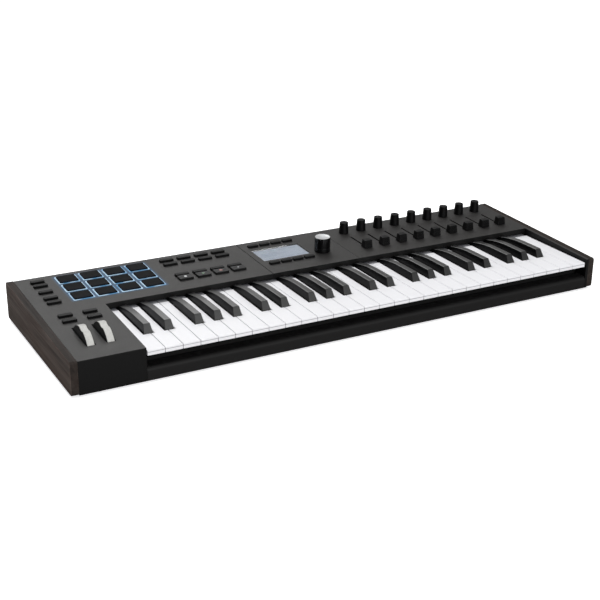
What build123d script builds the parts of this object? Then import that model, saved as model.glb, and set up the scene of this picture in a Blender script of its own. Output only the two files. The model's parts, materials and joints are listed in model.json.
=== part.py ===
from build123d import *
import math
import os

# A 49-key controller keyboard, as the separate pieces it comes apart into.
# Millimetres. X runs along the keys, +Y is the rear, +Z is up.
# The origin is the middle of the footprint, on the surface the feet stand on.

# --- case ---------------------------------------------------------------------
case_width = 795.0
case_depth = 272.0
foot_height = 3.0
front_height = 44.3
rear_height = 52.7
cheek_thickness = 10.0
cheek_corner = 3.5
cheek_edge = 1.2
cheek_seam = 0.5
panel_thickness = 2.5
case_wall = 2.5
rear_inset = 4.0
fit_gap = 0.2
edge_round = 0.6
overrun = 1.0
near = 0.1
screw_xs = (-370.0, -318.0, -200.0, -30.0, 140.0, 300.0, 370.0)
screw_ys = (-105.0, 60.0)
foot_xs = (-360.0, 0.0, 360.0)
foot_ys = (-122.0, 115.0)

# --- keys ---------------------------------------------------------------------
key_pitch = 23.5
octave_whites = 7
lower_whites = 3
octaves = 4
key_gap = 0.9
key_front = -134.4
white_top = 42.45
white_lip = 6.7
white_skin = 2.2
white_skirt = 1.6
white_rear = 14.0
white_step = 2.0
white_step_drop = 1.0
notch_front = -86.6
lip_groove_depth = 0.35
lip_groove_height = 0.5
lip_groove_drop = 2.2
black_front = -85.4
black_base = 11.8
black_front_run = 6.5
black_height = 11.0
black_fall = 0.5
black_bend = -45.0
black_rear_top = 45.7
black_side_run = 1.6
black_round = 0.8
upward = 0.9
black_sink = 7.0
black_body = 10.8
black_rear_gap = 0.4
web_height = 2.0
arm_width = 7.0
arm_front = -60.0
arm_low = 28.0
arm_high = 36.0
arm_taper = 1.0
arm_ramp = 2.0
arm_bite = 0.5
end_inset = 2.0
pivot_y = 69.0
pivot_z = 30.5
pivot_boss = 5.5
axle_radius = 2.0
running_gap = 0.05

# --- panel layout (x, and y measured up the panel's slope) ---------------------
keyboard_left = -300.0
block_right = -301.5
key_bay_right = 383.0
panel_front = 9.0
lip_bottom = 44.0
lip_thickness = 2.5

narrow_button = (18.5, 6.5)
narrow_column_x = -360.0
narrow_column_y = (113.5, 98.5, 75.8, 53.8, 38.8)
wheel_button_x = (-360.3, -327.4)
wheel_button_y = (-6.8, -24.4)
function_button = (20.0, 6.5)
function_first_x = -173.4
function_pitch_x = 26.6
function_y = (114.5, 99.0, 57.5)
transport_button = (20.0, 12.8)
transport_y = 44.9
display_button = (15.5, 6.5)
display_first_x = -37.4
display_pitch_x = 18.75
display_row_y = (113.8, 42.6)
button_rise = 3.0
button_corner = 0.9
button_clearance = 0.4
button_flange = 0.9
flange_gap = 0.3
button_edge = 0.5

pad_size = (25.6, 22.4)
pad_first = (-320.0, 48.6)
pad_pitch = (33.4, 30.2)
pad_columns = 4
pad_rows = ("front", "middle", "rear")
pad_rise = 2.0
pad_corner = 1.8
pad_edge = 0.6
pad_gap = 0.3
frame_band = 1.6
frame_rise = 0.4

centre_left = -57.3
centre_right = 83.5
centre_seams = (0.9, 0.45)
centre_skin = 1.2
centre_border = 4.0
panel_rear = 132.0
window_size = (75.5, 43.0)
window_centre = (-9.2, 77.6)
window_sink = 0.3
window_thickness = 1.5
window_ledge = 0.8

knob_count = 9
knob_first_x = 114.1
knob_pitch_x = 30.35
knob_y = 109.2
knob_base_radius = 7.4
knob_top_radius = 6.4
knob_height = 16.9
knob_lift = 0.5
shaft_radius = 3.0
shaft_clearance = 0.6
encoder_at = (47.3, 56.2)
encoder_radius = 11.6
encoder_height = 21.3

fader_first_x = 115.4
fader_rest_y = 42.5
fader_travel = 45.0
fader_base = (13.4, 12.0)
fader_top = (11.6, 9.0)
fader_height = 11.5
fader_lift = 0.8
stem_size = (1.2, 5.0)
slot_width = 2.8
slot_margin = 0.8

# --- wheels ---------------------------------------------------------------------
wheel_x = {"pitch_wheel": -358.5, "mod_wheel": -332.9}
wheel_width = 10.0
wheel_radius = 32.5
wheel_y = -73.0
wheel_z = 30.3
wheel_half_arc = 88.0
wheel_hub = 8.0
wheel_slot = (12.4, 58.0)
wheel_slot_corner = 1.0
scoop_radius = 14.0
scoop_depth = 2.2
scoop_lean = 10.0
straight_up = 90.0

# --- inside ---------------------------------------------------------------------
board_depth = 12.0
board_thickness = 1.6
rail_height = 17.5
rail_round = 5.0
rail_depth = 18.0
bed_floor = 8.0
bed_sheet = 2.0
bed_front = -114.0
bed_rear = 78.0
bed_lip_top = 24.5
spring_width = 5.0
spring_sheet = 0.4
spring_from = 36.0
spring_to = 57.0
spring_below = 2.4
spring_foot_run = 12.0
spring_tip_run = 14.0
connector_z = 26.0
jack_x = (-215.0, -190.0, -165.0, -140.0)
midi_x = (-298.0, -262.0)
usb_x = -335.0
jack_bore = 3.25
jack_bore_depth = 18.0

# --- worked out -------------------------------------------------------------------
half_width = case_width / 2
inner_half = half_width - cheek_thickness
front_y = -case_depth / 2
rear_y = case_depth / 2
floor_z = foot_height
floor_top = foot_height + case_wall
slope = math.degrees(math.atan2(rear_height - front_height, case_depth))
panel_mid_z = foot_height + (front_height + rear_height) / 2
lean = math.radians(slope)
panel_plane = Plane(
    origin=(0, 0, panel_mid_z),
    x_dir=(1, 0, 0),
    z_dir=(0, -math.sin(lean), math.cos(lean)),
)
board_top = -(board_depth - board_thickness)
frame_depth = frame_rise + panel_thickness
octave_width = octave_whites * key_pitch
keyboard_right = keyboard_left + octaves * octave_width + key_pitch
case_back = rear_y - rear_inset

os.makedirs("parts", exist_ok=True)


def panel_height(y):
    """Height of the panel's top face above the ground at this depth."""
    return panel_mid_z + y * math.tan(lean)


def under_panel(y):
    """Height of the panel's underside at this depth."""
    return panel_height(y) - panel_thickness / math.cos(lean)


def save(builder, name):
    """Name the finished piece and write it to its own file."""
    builder.part.label = name
    export_step(builder.part, f"parts/{name}.step")


def row(first, pitch, count):
    """Evenly spaced places along a line."""
    return [first + pitch * index for index in range(count)]


def grid(xs, ys):
    """Every pairing of the places across with the places up the panel."""
    return [(x, y) for y in ys for x in xs]


left_button_places = grid([narrow_column_x], narrow_column_y) + grid(wheel_button_x, wheel_button_y)
function_xs = row(function_first_x, function_pitch_x, 4)
function_places = grid(function_xs, function_y)
transport_places = grid(function_xs, [transport_y])
display_places = grid(row(display_first_x, display_pitch_x, 4), display_row_y)
pad_xs = row(pad_first[0], pad_pitch[0], pad_columns)
pad_ys = row(pad_first[1], pad_pitch[1], len(pad_rows))
knob_xs = row(knob_first_x, knob_pitch_x, knob_count)
fader_xs = row(fader_first_x, knob_pitch_x, knob_count)
slot_length = fader_travel + stem_size[1] + 2 * slot_margin
slot_y = fader_rest_y + fader_travel / 2
frame_outer = (pad_size[0] + 2 * (pad_gap + frame_band), pad_size[1] + 2 * (pad_gap + frame_band))


def side_plane(x):
    """An upright plane facing +X, with depth as its x and height as its y."""
    return Plane(origin=(x, 0, 0), x_dir=(0, 1, 0), z_dir=(1, 0, 0))


def slab(x_range, y_range, z_range, mode=Mode.ADD):
    """A square-edged block between two corners."""
    centre = [(low + high) / 2 for low, high in (x_range, y_range, z_range)]
    size = [high - low for low, high in (x_range, y_range, z_range)]
    with Locations(tuple(centre)):
        Box(*size, mode=mode)


def holes_in_panel(places, size, clearance, corner):
    """Round-cornered openings right through the panel."""
    with BuildSketch(panel_plane.offset(overrun)) as openings:
        with Locations(*places):
            RectangleRounded(size[0] + 2 * clearance, size[1] + 2 * clearance, corner)
    extrude(openings.sketch, amount=-(panel_thickness + 2 * overrun), mode=Mode.SUBTRACT)


def side_section(outline, x_low, x_high, mode=Mode.ADD):
    """A profile seen from the side, given its length along X."""
    with BuildSketch(side_plane(x_low)) as section:
        with BuildLine():
            Polyline(*outline, close=True)
        make_face()
    extrude(section.sketch, amount=x_high - x_low, mode=mode)


# === case ========================================================================

# Side cheeks: solid wood boards whose top edges carry on the slope of the panel.
for side, x_low in (("left", -half_width), ("right", inner_half)):
    with BuildPart() as cheek:
        side_section(
            [
                (front_y, floor_z),
                (rear_y, floor_z),
                (rear_y, panel_height(rear_y)),
                (front_y, panel_height(front_y)),
            ],
            x_low,
            x_low + cheek_thickness,
        )
        fillet(cheek.edges().filter_by(Axis.X), cheek_corner)
        outer_face = cheek.faces().sort_by(Axis.X)[0 if side == "left" else -1]
        fillet(outer_face.edges(), cheek_edge)
        inner_face = cheek.faces().sort_by(Axis.X)[-1 if side == "left" else 0]
        fillet(inner_face.edges(), cheek_seam)
    save(cheek, f"{side}_cheek")

# Bottom case: a tray with a rounded front rail under the keys and a tall rear wall.
with BuildPart() as bottom_case:
    slab((-inner_half, inner_half), (front_y + case_wall + fit_gap, case_back), (floor_z, floor_top))
    rail_top = floor_z + rail_height
    with BuildSketch(side_plane(block_right + fit_gap)) as rail_section:
        with BuildLine():
            rail_start = Line((front_y, floor_z), (front_y, rail_top - rail_round))
            rail_bend = TangentArc(rail_start @ 1, (front_y + rail_round, rail_top), tangent=rail_start % 1)
            Line(rail_bend @ 1, (front_y + rail_depth, rail_top))
            Line((front_y + rail_depth, rail_top), (front_y + rail_depth, floor_z))
            Line((front_y + rail_depth, floor_z), (front_y, floor_z))
        make_face()
    extrude(amount=key_bay_right - block_right - 2 * fit_gap)
    slab(
        (block_right + fit_gap + case_wall, key_bay_right - fit_gap - case_wall),
        (front_y + case_wall, front_y + rail_depth - case_wall),
        (floor_top, rail_top - case_wall),
        Mode.SUBTRACT,
    )
    side_section(
        [
            (case_back - case_wall, floor_z),
            (case_back, floor_z),
            (case_back, under_panel(case_back)),
            (case_back - case_wall, under_panel(case_back - case_wall)),
        ],
        -inner_half,
        inner_half,
    )
    rear_face = Plane(origin=(0, case_back, connector_z), x_dir=(-1, 0, 0), z_dir=(0, 1, 0))
    jack_nose = 5.6
    midi_nose = 9.0
    usb_hood = (9.4, 3.6)
    usb_corner = 1.6
    lock_slot = (7.0, 3.0)
    lock_x = 330.0
    with BuildSketch(rear_face):
        with Locations(*[(-x, 0) for x in jack_x]):
            Circle(jack_nose + fit_gap)
        with Locations(*[(-x, 0) for x in midi_x]):
            Circle(midi_nose + fit_gap)
        with Locations((-usb_x, 0)):
            RectangleRounded(usb_hood[0] + fit_gap, usb_hood[1] + fit_gap, usb_hood[1] / 2)
        with Locations((-lock_x, 0)):
            RectangleRounded(*lock_slot, lock_slot[1] / 3)
    extrude(amount=-case_wall, mode=Mode.SUBTRACT)
    screw_places = grid(screw_xs, screw_ys)
    screw_head = 3.0
    screw_shank = 1.45
    head_depth = 1.2
    with Locations(*[Location((x, y, floor_z), (180, 0, 0)) for x, y in screw_places]):
        CounterBoreHole(screw_shank + running_gap, screw_head + fit_gap, head_depth, case_wall)
save(bottom_case, "bottom_case")

# Top panel: the sloping deck, the block beside the keys and the lip above them.
with BuildPart() as top_panel:
    for x_low, x_high, y_low in (
        (-inner_half, block_right, front_y),
        (block_right, key_bay_right, panel_front),
        (key_bay_right, inner_half, front_y),
    ):
        side_section(
            [
                (y_low, under_panel(y_low)),
                (panel_rear, under_panel(panel_rear)),
                (panel_rear, panel_height(panel_rear)),
                (y_low, panel_height(y_low)),
            ],
            x_low,
            x_high,
        )
    for x_low, x_high, y_low, y_high, z_low in (
        (-inner_half, block_right, front_y, front_y + case_wall, floor_z),
        (block_right - case_wall, block_right, front_y, panel_front, floor_top + fit_gap),
        (key_bay_right, inner_half, front_y, panel_front, floor_top + fit_gap),
        (block_right - case_wall, inner_half, panel_front, panel_front + lip_thickness, lip_bottom),
    ):
        side_section(
            [
                (y_low, z_low),
                (y_high, z_low),
                (y_high, under_panel(y_high)),
                (y_low, under_panel(y_low)),
            ],
            x_low,
            x_high,
        )
    slab((key_bay_right, inner_half), (front_y, front_y + case_wall), (floor_z, floor_top + overrun))
    front_rim = top_panel.edges().filter_by(Axis.X).group_by(Axis.Y)[0].group_by(Axis.Z)[-1]
    fillet(front_rim, edge_round)
    long_edges = top_panel.edges().filter_by(Axis.X)
    lip_rim = long_edges.filter_by_position(Axis.Y, panel_front - near, panel_front + near)
    fillet(lip_rim.group_by(Axis.Z)[-1], edge_round)
    pocket_middle = ((centre_left + centre_right) / 2, (panel_front + panel_rear) / 2)
    pocket_size = (centre_right - centre_left, panel_rear - panel_front)
    with BuildSketch(panel_plane.offset(-centre_skin)):
        with Locations(pocket_middle):
            Rectangle(pocket_size[0], pocket_size[1] + 2 * overrun)
    extrude(amount=centre_skin + overrun, mode=Mode.SUBTRACT)
    with BuildSketch(panel_plane.offset(overrun)):
        with Locations(pocket_middle):
            Rectangle(pocket_size[0] - 2 * centre_border, pocket_size[1] - 4 * centre_border)
    extrude(amount=-(panel_thickness + 2 * overrun), mode=Mode.SUBTRACT)
    holes_in_panel(left_button_places, narrow_button, button_clearance, button_corner)
    holes_in_panel(function_places, function_button, button_clearance, button_corner)
    holes_in_panel(transport_places, transport_button, button_clearance, button_corner)
    holes_in_panel(grid(pad_xs, pad_ys), frame_outer, fit_gap / 2, pad_corner)
    holes_in_panel(grid(fader_xs, [slot_y]), (slot_width, slot_length), 0, slot_width / 3)
    holes_in_panel([(x, wheel_y) for x in wheel_x.values()], wheel_slot, 0, wheel_slot_corner)
    with BuildSketch(panel_plane.offset(overrun)):
        with Locations(*grid(knob_xs, [knob_y])):
            Circle(shaft_radius + shaft_clearance)
    extrude(amount=-(panel_thickness + 2 * overrun), mode=Mode.SUBTRACT)
save(top_panel, "top_panel")

# Centre panel: the plate around the display, let into the deck so its top is level.
with BuildPart() as centre_panel:
    with BuildSketch(panel_plane.offset(-centre_skin)):
        with Locations(pocket_middle):
            Rectangle(pocket_size[0], pocket_size[1])
        with Locations((centre_left, pocket_middle[1])):
            Rectangle(2 * centre_seams[0], pocket_size[1], mode=Mode.SUBTRACT)
        with Locations((centre_right, pocket_middle[1])):
            Rectangle(2 * centre_seams[1], pocket_size[1], mode=Mode.SUBTRACT)
    extrude(amount=centre_skin)
    with BuildSketch(panel_plane.offset(-panel_thickness)):
        with Locations(pocket_middle):
            Rectangle(
                pocket_size[0] - 2 * centre_border - 2 * fit_gap,
                pocket_size[1] - 4 * centre_border - 2 * fit_gap,
            )
    extrude(amount=panel_thickness - centre_skin)
    holes_in_panel(display_places, display_button, button_clearance, button_corner)
    with BuildSketch(panel_plane.offset(-window_sink - window_thickness)):
        with Locations(window_centre):
            RectangleRounded(window_size[0] + fit_gap, window_size[1] + fit_gap, button_corner)
    extrude(amount=window_sink + window_thickness + overrun, mode=Mode.SUBTRACT)
    with BuildSketch(panel_plane.offset(overrun)):
        with Locations(window_centre):
            Rectangle(window_size[0] - 2 * window_ledge, window_size[1] - 2 * window_ledge)
        with Locations(encoder_at):
            Circle(shaft_radius + shaft_clearance)
    extrude(amount=-(panel_thickness + 2 * overrun), mode=Mode.SUBTRACT)
save(centre_panel, "centre_panel")

# Display: the clear window on its ledge, and the screen module under it.
with BuildPart() as display_window:
    with BuildSketch(panel_plane.offset(-window_sink - window_thickness)):
        with Locations(window_centre):
            RectangleRounded(*window_size, button_corner)
    extrude(amount=window_thickness)
save(display_window, "display_window")

screen_thickness = 3.0
with BuildPart() as display_module:
    with BuildSketch(panel_plane.offset(-panel_thickness - screen_thickness)):
        with Locations(window_centre):
            Rectangle(*window_size)
    extrude(amount=screen_thickness)
save(display_module, "display_module")

# Rubber feet under the four corners and the middle of the long sides.
with BuildPart() as rubber_feet:
    foot_radius = 9.0
    with BuildSketch():
        with Locations(*grid(foot_xs, foot_ys)):
            Circle(foot_radius)
    extrude(amount=foot_height)
    fillet(rubber_feet.edges().group_by(Axis.Z)[0], edge_round)
save(rubber_feet, "rubber_feet")

# Screws up through the floor into the frames inside.
with BuildPart() as case_screws:
    screw_length = 5.0
    with BuildSketch(Plane.XY.offset(floor_z + fit_gap)):
        with Locations(*screw_places):
            Circle(screw_head)
    extrude(amount=head_depth - fit_gap)
    with BuildSketch(Plane.XY.offset(floor_z + head_depth)):
        with Locations(*screw_places):
            Circle(screw_shank)
    extrude(amount=screw_length)
    recess = 0.8
    with BuildSketch(Plane.XY.offset(floor_z + fit_gap)):
        with Locations(*screw_places):
            Rectangle(screw_head, recess)
            Rectangle(recess, screw_head)
    extrude(amount=recess, mode=Mode.SUBTRACT)
save(case_screws, "case_screws")

# === keyboard ========================================================================

note_names = "c c_sharp d d_sharp e f f_sharp g g_sharp a a_sharp b".split()
white_notes = [name for name in note_names if "sharp" not in name]


def tail_edges(note):
    """Left and right edge, within the octave, of the note's share of the rear width."""
    lower_notes = 2 * lower_whites - 1
    lower_width = lower_whites * key_pitch / lower_notes
    if note < lower_notes:
        return note * lower_width, (note + 1) * lower_width
    upper_width = (octave_whites - lower_whites) * key_pitch / (len(note_names) - lower_notes)
    left = lower_whites * key_pitch + (note - lower_notes) * upper_width
    return left, left + upper_width


def key_arm(centre_x, front, high_front):
    """The lever behind a key, ending in the boss that turns on the axle."""
    plane = side_plane(centre_x - arm_width / 2)
    with BuildSketch(plane) as lever:
        with BuildLine():
            Polyline(
                (front, arm_low),
                (pivot_y, arm_low - arm_taper),
                (pivot_y, arm_high),
                (white_rear, arm_high),
                (white_rear - arm_ramp, high_front),
                (front, high_front),
                close=True,
            )
        make_face()
        with Locations((pivot_y, pivot_z)):
            Circle(pivot_boss)
            Circle(axle_radius + running_gap, mode=Mode.SUBTRACT)
    extrude(lever.sketch, amount=arm_width)


def white_plan(edges, inset, height):
    """Top view of a white key: the wide head and the tail between its black neighbours."""
    head_left, head_right, tail_left, tail_right = edges
    with BuildSketch(Plane.XY.offset(height)) as plan:
        with Locations(((head_left + head_right) / 2, (key_front + notch_front) / 2)):
            Rectangle(head_right - head_left - key_gap - 2 * inset, notch_front - key_front - 2 * inset)
        with Locations(((tail_left + tail_right) / 2, (key_front + white_rear) / 2)):
            Rectangle(tail_right - tail_left - key_gap - 2 * inset, white_rear - key_front - 2 * inset)
    return plan.sketch


def white_key(head_left, tail_left, tail_right):
    """One white key: a thin-walled cap with a short front lip, on its lever."""
    edges = (head_left, head_left + key_pitch, tail_left, tail_right)
    middle = (tail_left + tail_right) / 2
    with BuildPart() as key:
        extrude(white_plan(edges, 0, white_top - white_lip), amount=white_lip)
        fillet(key.faces().sort_by(Axis.Z)[-1].edges(), edge_round)
        hollow = white_plan(edges, white_skirt, white_top - white_lip)
        extrude(hollow, amount=white_lip - white_skin, mode=Mode.SUBTRACT)
        slab(
            (head_left - overrun, head_left + key_pitch + overrun),
            (white_step, white_rear + overrun),
            (white_top - white_step_drop, white_top + overrun),
            Mode.SUBTRACT,
        )
        groove_top = white_top - lip_groove_drop
        slab(
            (head_left, head_left + key_pitch),
            (key_front - overrun, key_front + lip_groove_depth),
            (groove_top - lip_groove_height, groove_top),
            Mode.SUBTRACT,
        )
        key_arm(middle, arm_front, white_top - white_skin + arm_bite)
    return key.part


def black_key(tail_left, tail_right):
    """One black key: a tapered cap with a sloping front, on its lever."""
    middle = (tail_left + tail_right) / 2
    cap_rear = panel_front - black_rear_gap
    base_z = white_top - black_sink
    with BuildPart() as key:
        with BuildSketch(Plane.XY.offset(white_top)) as base:
            with Locations((middle, (black_front + cap_rear) / 2)):
                Rectangle(black_base, cap_rear - black_front + 2 * black_side_run)
        side_taper = math.degrees(math.atan(black_side_run / black_height))
        extrude(base.sketch, amount=black_height, taper=side_taper)
        front_plane = Plane(
            origin=(middle, black_front, white_top),
            x_dir=(1, 0, 0),
            z_dir=(0, -black_height, black_front_run),
        )
        split(bisect_by=front_plane, keep=Keep.BOTTOM)
        with BuildSketch(side_plane(middle - black_base)) as profile:
            with BuildLine():
                top_z = white_top + black_height
                top_line = Line((black_front, top_z), (black_bend, top_z - black_fall))
                fall_line = TangentArc(top_line @ 1, (cap_rear, black_rear_top), tangent=top_line % 1)
                Polyline(fall_line @ 1, (cap_rear, white_top), (black_front, white_top), top_line @ 0)
            make_face()
        extrude(profile.sketch, amount=2 * black_base, mode=Mode.INTERSECT)
        rims = ShapeList()
        for face in key.faces().filter_by(lambda one: one.normal_at(one.center()).Z > upward):
            rims += face.edges()
        across = rims.filter_by(Axis.X)
        fillet((rims - across) + across.sort_by(Axis.Y)[:1], black_round)
        slab(
            (middle - black_body / 2, middle + black_body / 2),
            (black_front, cap_rear),
            (base_z, white_top),
        )
        slab(
            (middle - arm_width / 2, middle + arm_width / 2),
            (arm_front, white_rear),
            (arm_high - web_height, white_top - white_step_drop),
        )
        key_arm(middle, arm_front, white_top - white_step_drop)
    return key.part


for note, name in enumerate(note_names):
    tail_left, tail_right = tail_edges(note)
    if name in white_notes:
        one_key = white_key(white_notes.index(name) * key_pitch, tail_left, tail_right)
    else:
        one_key = black_key(tail_left, tail_right)
    with BuildPart() as keys:
        with Locations(*[(keyboard_left + octave_width * index, 0, 0) for index in range(octaves)]):
            add(one_key)
        if name == "c":
            with Locations((keyboard_left + octave_width * octaves, 0, 0)):
                add(white_key(0, 0, key_pitch))
    save(keys, f"keys_{name}")

arm_xs = []
for index in range(octaves):
    for note in range(len(note_names)):
        arm_xs.append(keyboard_left + index * octave_width + sum(tail_edges(note)) / 2)
arm_xs.append(keyboard_right - key_pitch / 2)
between_arms = [(a + b) / 2 for a, b in zip(arm_xs, arm_xs[1:])]
rib_xs = [keyboard_left + end_inset] + between_arms + [keyboard_right - end_inset]

# Keybed: a folded sheet tray with a rib between every two levers.
with BuildPart() as keybed_frame:
    rib_sheet = 1.6
    rib_depth = 14.0
    rib_top = pivot_z + pivot_boss
    slab((keyboard_left, keyboard_right), (bed_front, bed_rear), (bed_floor, bed_floor + bed_sheet))
    slab((keyboard_left, keyboard_right), (bed_front, bed_front + bed_sheet), (bed_floor, bed_lip_top))
    slab((keyboard_left, keyboard_right), (bed_rear - bed_sheet, bed_rear), (bed_floor, pivot_z))
    for x in rib_xs:
        slab(
            (x - rib_sheet / 2, x + rib_sheet / 2),
            (pivot_y - rib_depth / 2, bed_rear),
            (bed_floor, rib_top),
        )
    with BuildSketch(side_plane(keyboard_left)):
        with Locations((pivot_y, pivot_z)):
            Circle(axle_radius + running_gap)
    extrude(amount=keyboard_right - keyboard_left, mode=Mode.SUBTRACT)
    bed_screws = [(x, y) for x, y in screw_places if keyboard_left < x < keyboard_right]
    with BuildSketch(Plane.XY.offset(floor_top)):
        with Locations(*bed_screws):
            Circle(2 * screw_head)
            Circle(screw_shank + running_gap, mode=Mode.SUBTRACT)
    extrude(amount=bed_floor - floor_top)
    with BuildSketch(Plane.XY.offset(bed_floor)):
        with Locations(*bed_screws):
            Circle(screw_shank + running_gap)
    extrude(amount=bed_sheet, mode=Mode.SUBTRACT)
save(keybed_frame, "keybed_frame")

# The steel rod that every key turns on.
with BuildPart() as key_axle:
    with BuildSketch(side_plane(keyboard_left)):
        with Locations((pivot_y, pivot_z)):
            Circle(axle_radius)
    extrude(amount=keyboard_right - keyboard_left)
save(key_axle, "key_axle")

# One leaf spring under every lever, just in front of the axle.
with BuildPart() as key_springs:
    spring_low = bed_floor + bed_sheet
    spring_high = arm_low - spring_below
    spring_middle = (spring_low + spring_high) / 2
    foot_end = spring_from + spring_foot_run
    tip_start = spring_to - spring_tip_run
    for x in arm_xs:
        with BuildSketch(side_plane(x - spring_width / 2)):
            with BuildLine():
                Polyline(
                    (spring_from, spring_low),
                    (foot_end, spring_low),
                    (tip_start, spring_middle),
                    (spring_to, spring_high),
                    (spring_to, spring_high + spring_sheet),
                    (tip_start - spring_sheet, spring_middle + spring_sheet),
                    (foot_end - spring_sheet, spring_low + spring_sheet),
                    (spring_from, spring_low + spring_sheet),
                    close=True,
                )
            make_face()
        extrude(amount=spring_width)
save(key_springs, "key_springs")

# The long board under the keys, with a soft dome below each lever.
with BuildPart() as key_contact_board:
    strip_depth = 34.0
    strip_y = -8.0
    strip_top = 18.6
    dome_y = -16.0
    dome_radius = 4.0
    dome_height = 2.4
    dome_taper = 20.0
    slab(
        (keyboard_left + end_inset, keyboard_right - end_inset),
        (strip_y - strip_depth / 2, strip_y + strip_depth / 2),
        (strip_top - board_thickness, strip_top),
    )
    with BuildSketch(Plane.XY.offset(strip_top)):
        with Locations(*[(x, dome_y) for x in arm_xs]):
            Circle(dome_radius)
    extrude(amount=dome_height, taper=dome_taper)
    post_radius = 3.0
    post_pitch = 80.0
    post_count = 9
    post_inset = (20.0, 10.0)
    post_xs = row(keyboard_left + post_inset[0], post_pitch, post_count)
    with BuildSketch(Plane.XY.offset(bed_floor + bed_sheet)):
        with Locations(*grid(post_xs, [strip_y + post_inset[1]])):
            Circle(post_radius)
    extrude(amount=strip_top - board_thickness - bed_floor - bed_sheet)
save(key_contact_board, "key_contact_board")

# === controls ========================================================================

panel_up = Axis(panel_plane.origin, panel_plane.z_dir)
flange_top = -panel_thickness - flange_gap


def raised_blocks(places, size, low, high, corner):
    """Round-cornered blocks between two heights measured off the panel's face."""
    with BuildSketch(panel_plane.offset(low)) as plan:
        with Locations(*places):
            RectangleRounded(*size, corner)
    extrude(plan.sketch, amount=high - low)


def round_tops(builder, radius):
    """Round over the top rim of every solid made so far."""
    rims = ShapeList()
    for solid in builder.solids():
        rims += solid.faces().sort_by(panel_up)[-1].edges()
    fillet(rims, radius)


def push_caps(places, size, rise, corner, edge):
    """Caps that stand up through the deck, each with a wider flange that holds it in."""
    wide = (size[0] + 2 * button_flange, size[1] + 2 * button_flange)
    with BuildPart() as caps:
        raised_blocks(places, size, flange_top, rise, corner)
        round_tops(caps, edge)
        raised_blocks(places, wide, flange_top - button_flange, flange_top, corner)
    return caps


button_sets = {
    "left_buttons": (left_button_places, narrow_button),
    "function_buttons": (function_places, function_button),
    "transport_buttons": (transport_places, transport_button),
    "display_buttons": (display_places, display_button),
}
for name, (places, size) in button_sets.items():
    save(push_caps(places, size, button_rise, button_corner, button_edge), name)

for name, y in zip(pad_rows, pad_ys):
    save(push_caps(grid(pad_xs, [y]), pad_size, pad_rise, pad_corner, pad_edge), f"pads_{name}_row")

# Clear frames let into the deck around the pads, which carry the light.
with BuildPart() as pad_light_frames:
    pad_places = grid(pad_xs, pad_ys)
    raised_blocks(pad_places, frame_outer, frame_rise - frame_depth, frame_rise, pad_corner)
    round_tops(pad_light_frames, frame_rise / 2)
    with BuildSketch(panel_plane.offset(frame_rise - frame_depth)):
        with Locations(*pad_places):
            RectangleRounded(pad_size[0] + 2 * pad_gap, pad_size[1] + 2 * pad_gap, pad_corner)
    extrude(amount=frame_depth + overrun, mode=Mode.SUBTRACT)
save(pad_light_frames, "pad_light_frames")


def turning_knob(place, lift, base_radius, top_radius, height):
    """A tapered knob cap with a rounded rim."""
    taper = math.degrees(math.atan2(base_radius - top_radius, height))
    with BuildPart() as knob:
        with BuildSketch(panel_plane.offset(lift)) as foot:
            with Locations(place):
                Circle(base_radius)
        extrude(foot.sketch, amount=height, taper=taper)
        fillet(knob.faces().sort_by(panel_up)[-1].edges(), edge_round)
    return knob


shaft_low = -9.0
for index, x in enumerate(knob_xs):
    with BuildPart() as knob:
        add(turning_knob((x, knob_y), knob_lift, knob_base_radius, knob_top_radius, knob_height).part)
        with BuildSketch(panel_plane.offset(shaft_low)):
            with Locations((x, knob_y)):
                Circle(shaft_radius)
        extrude(amount=knob_lift - shaft_low)
    save(knob, f"knob_{index + 1}")

# Main encoder: a large knob with a groove low down, on a shaft that also pushes in.
encoder_lift = 0.9
socket_depth = 12.0
groove_height = 5.0
groove_depth = 0.7
groove_width = 0.9
with BuildPart() as encoder_knob:
    add(turning_knob(encoder_at, encoder_lift, encoder_radius, encoder_radius, encoder_height).part)
    with BuildSketch(panel_plane.offset(encoder_lift + groove_height)):
        with Locations(encoder_at):
            Circle(encoder_radius + overrun)
            Circle(encoder_radius - groove_depth, mode=Mode.SUBTRACT)
    extrude(amount=groove_width, mode=Mode.SUBTRACT)
    with BuildSketch(panel_plane.offset(encoder_lift)):
        with Locations(encoder_at):
            Circle(shaft_radius + running_gap)
    extrude(amount=socket_depth, mode=Mode.SUBTRACT)
save(encoder_knob, "encoder_knob")

with BuildPart() as encoder_shaft:
    with BuildSketch(panel_plane.offset(shaft_low)):
        with Locations(encoder_at):
            Circle(shaft_radius)
    extrude(amount=encoder_lift + socket_depth - fit_gap - shaft_low)
save(encoder_shaft, "encoder_shaft")

# The rotary encoders' bodies, standing on the board under each knob.
control_top = -3.4
with BuildPart() as knob_encoders:
    encoder_body = 12.0
    encoder_places = grid(knob_xs, [knob_y]) + [encoder_at]
    raised_blocks(encoder_places, (encoder_body, encoder_body), board_top, control_top, edge_round)
    with BuildSketch(panel_plane.offset(shaft_low - overrun)):
        with Locations(*encoder_places):
            Circle(shaft_radius + running_gap)
    extrude(amount=control_top - shaft_low + 2 * overrun, mode=Mode.SUBTRACT)
save(knob_encoders, "knob_encoders")

# Faders: tapered caps on flat stems that run in slots in the deck.
stem_low = -8.0
stem_high = 4.0
for index, x in enumerate(fader_xs):
    with BuildPart() as fader:
        with BuildSketch(panel_plane.offset(fader_lift)):
            with Locations((x, fader_rest_y)):
                RectangleRounded(*fader_base, edge_round)
        with BuildSketch(panel_plane.offset(fader_lift + fader_height)):
            with Locations((x, fader_rest_y)):
                RectangleRounded(*fader_top, edge_round)
        loft()
        fillet(fader.faces().sort_by(panel_up)[-1].edges(), edge_round)
        with BuildSketch(panel_plane.offset(stem_low)):
            with Locations((x, fader_rest_y)):
                Rectangle(*stem_size)
        extrude(amount=stem_high - stem_low)
    save(fader, f"fader_{index + 1}")

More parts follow.
